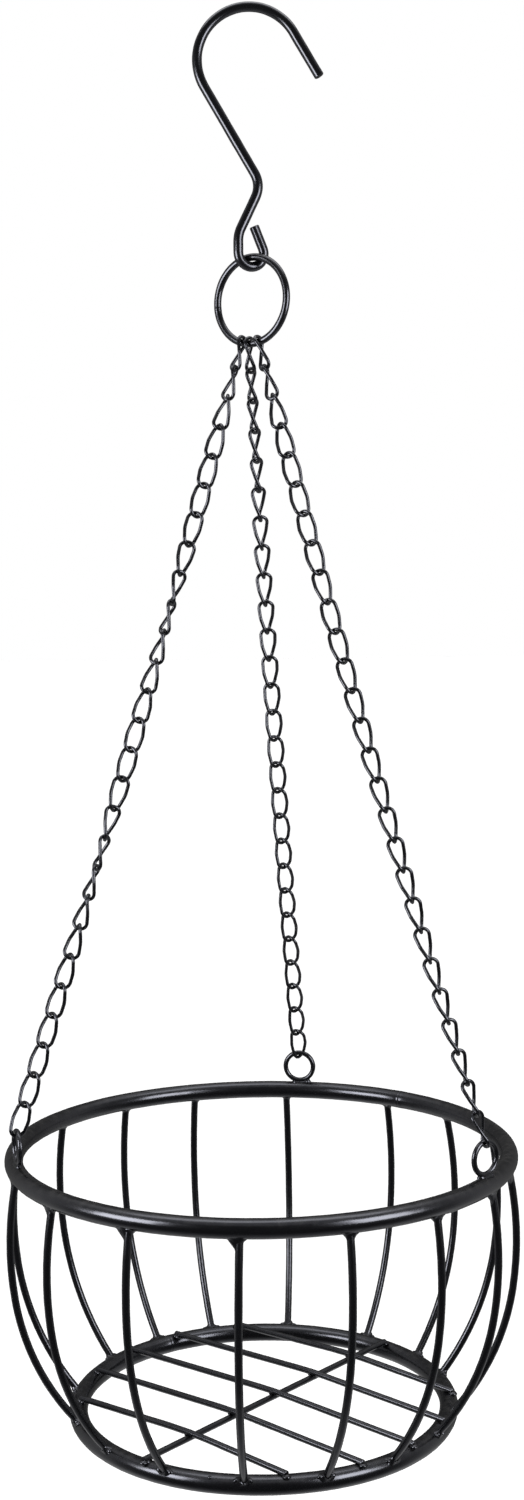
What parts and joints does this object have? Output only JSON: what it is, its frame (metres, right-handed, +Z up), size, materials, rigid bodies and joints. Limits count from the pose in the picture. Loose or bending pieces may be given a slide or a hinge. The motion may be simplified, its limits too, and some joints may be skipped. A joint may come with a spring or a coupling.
{
  "type": "hanging basket",
  "caption": "Round bowl-shaped open wire plant basket with bowed upright ribs, an open bar base, taut twisted-link chains meeting at a ring, and an S-hook to hang it by.",
  "frame": {"origin": "seat of the S-hook: the top of the inside of its large bend, where the support carries it; the basket's axis passes vertically through it", "axes": "+Z up, along the hang line; +X along the plane of the S-hook, towards its open side; +Y away from the viewer who sees the hook's open side on the right"},
  "size_m": [0.2507, 0.2515, 0.6806],
  "materials": {
    "basket_coat": "satin",
    "chain_coat": "satin",
    "hook_coat": "satin"
  },
  "bodies": {
    "hook": {"s_hook": "hook_coat"},
    "ring": {"hanging_ring": "chain_coat"},
    "basket": {"base_bar_1": "basket_coat", "base_bar_2": "basket_coat", "base_bar_3": "basket_coat", "base_bar_4": "basket_coat", "base_bar_5": "basket_coat", "base_bar_welds": "basket_coat", "base_cross_bar": "basket_coat", "base_hoop": "basket_coat", "chain_back_bottom_link": "chain_coat", "chain_back_top_link": "chain_coat", "chain_left_bottom_link": "chain_coat", "chain_left_top_link": "chain_coat", "chain_right_bottom_link": "chain_coat", "chain_right_top_link": "chain_coat", "eyelet_back": "basket_coat", "eyelet_left": "basket_coat", "eyelet_right": "basket_coat", "eyelet_welds": "basket_coat", "rib_01": "basket_coat", "rib_02": "basket_coat", "rib_03": "basket_coat", "rib_04": "basket_coat", "rib_05": "basket_coat", "rib_06": "basket_coat", "rib_07": "basket_coat", "rib_08": "basket_coat", "rib_09": "basket_coat", "rib_10": "basket_coat", "rib_11": "basket_coat", "rib_12": "basket_coat", "rib_13": "basket_coat", "rib_14": "basket_coat", "rib_15": "basket_coat", "rib_16": "basket_coat", "rib_foot_welds": "basket_coat", "rib_top_welds": "basket_coat", "rim_hoop": "basket_coat"},
    "chain_left": {"chain_left_links_02_to_06": "chain_coat", "chain_left_links_07_to_10": "chain_coat", "chain_left_links_11_to_14": "chain_coat", "chain_left_links_15_to_18": "chain_coat", "chain_left_links_19_to_22": "chain_coat", "chain_left_links_23_to_26": "chain_coat"},
    "chain_back": {"chain_back_links_02_to_06": "chain_coat", "chain_back_links_07_to_10": "chain_coat", "chain_back_links_11_to_14": "chain_coat", "chain_back_links_15_to_18": "chain_coat", "chain_back_links_19_to_22": "chain_coat", "chain_back_links_23_to_26": "chain_coat"},
    "chain_right": {"chain_right_links_02_to_06": "chain_coat", "chain_right_links_07_to_10": "chain_coat", "chain_right_links_11_to_14": "chain_coat", "chain_right_links_15_to_18": "chain_coat", "chain_right_links_19_to_22": "chain_coat", "chain_right_links_23_to_26": "chain_coat"}
  },
  "joints": [
    {"name": "ring_turn", "type": "hinge", "parent": "hook", "child": "ring", "pos_m": [0, 0, -0.1182], "axis": [0, 0, 1], "range_deg": [-68, 0]},
    {"name": "basket_swing", "type": "hinge", "parent": "ring", "child": "basket", "pos_m": [0, 0, -0.13395], "axis": [0.5878, 0.809, 0], "range_deg": [-35, 35]},
    {"name": "chain_left_roll", "type": "hinge", "parent": "basket", "child": "chain_left", "pos_m": [-0.05952, -0.01668, -0.33878], "axis": [0.2816, 0.1052, 0.9537], "range_deg": [-15, 15]},
    {"name": "chain_back_roll", "type": "hinge", "parent": "basket", "child": "chain_back", "pos_m": [0.00982, 0.05956, -0.33923], "axis": [-0.0585, -0.3023, 0.9514], "range_deg": [-15, 15]},
    {"name": "chain_right_roll", "type": "hinge", "parent": "basket", "child": "chain_right", "pos_m": [0.05259, -0.03254, -0.33911], "axis": [-0.2559, 0.1565, 0.9539], "range_deg": [-15, 15]}
  ]
}
